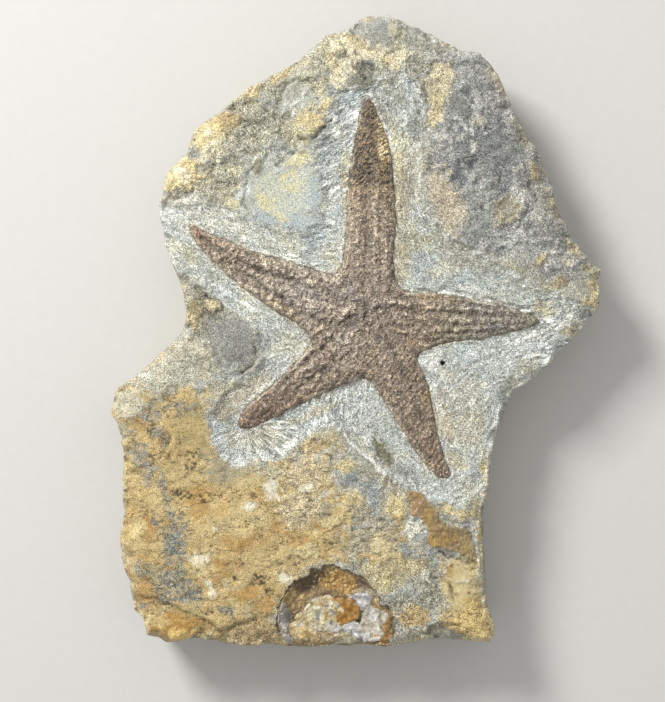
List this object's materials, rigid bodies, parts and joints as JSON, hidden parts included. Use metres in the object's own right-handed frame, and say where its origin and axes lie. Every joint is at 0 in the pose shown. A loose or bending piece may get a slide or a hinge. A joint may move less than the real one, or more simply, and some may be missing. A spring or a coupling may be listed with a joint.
{
  "type": "fossil starfish on a matrix slab",
  "caption": "Rough slab of grey and ochre mudstone lying on its back, with a five-armed fossil starfish in relief and a crystal-lined vug at its lower edge.",
  "frame": {"origin": "centre of the slab's outline, on the flat back face", "axes": "+Z out of the face that holds the starfish, +Y along the slab's long way towards the starfish's longest arm, +X to the right when looking down on the face"},
  "size_m": [0.143, 0.1848, 0.0256],
  "materials": {
    "mudstone": "rough split rock, grey with an ochre crust, sand-worn pale grey round the starfish",
    "fossil_calcite": "granular brown ossicles, dry, with faint glints",
    "brown_calcite": "glassy brown crystals",
    "amber_calcite": "clear amber crystal",
    "cream_calcite": "waxy cream",
    "white_calcite": "milky white to grey",
    "rust_calcite": "rust-stained, half dull"
  },
  "bodies": {
    "root": {"matrix_slab": "mudstone", "starfish": "fossil_calcite", "calcite_vein": "brown_calcite", "vug_druse": "brown_calcite", "vug_amber_crystal": "amber_calcite", "vug_cream_lump": "cream_calcite", "vug_white_lump": "white_calcite", "vug_cream_block": "cream_calcite", "vug_grey_lump": "white_calcite", "vug_rust_column": "rust_calcite"}
  },
  "joints": []
}
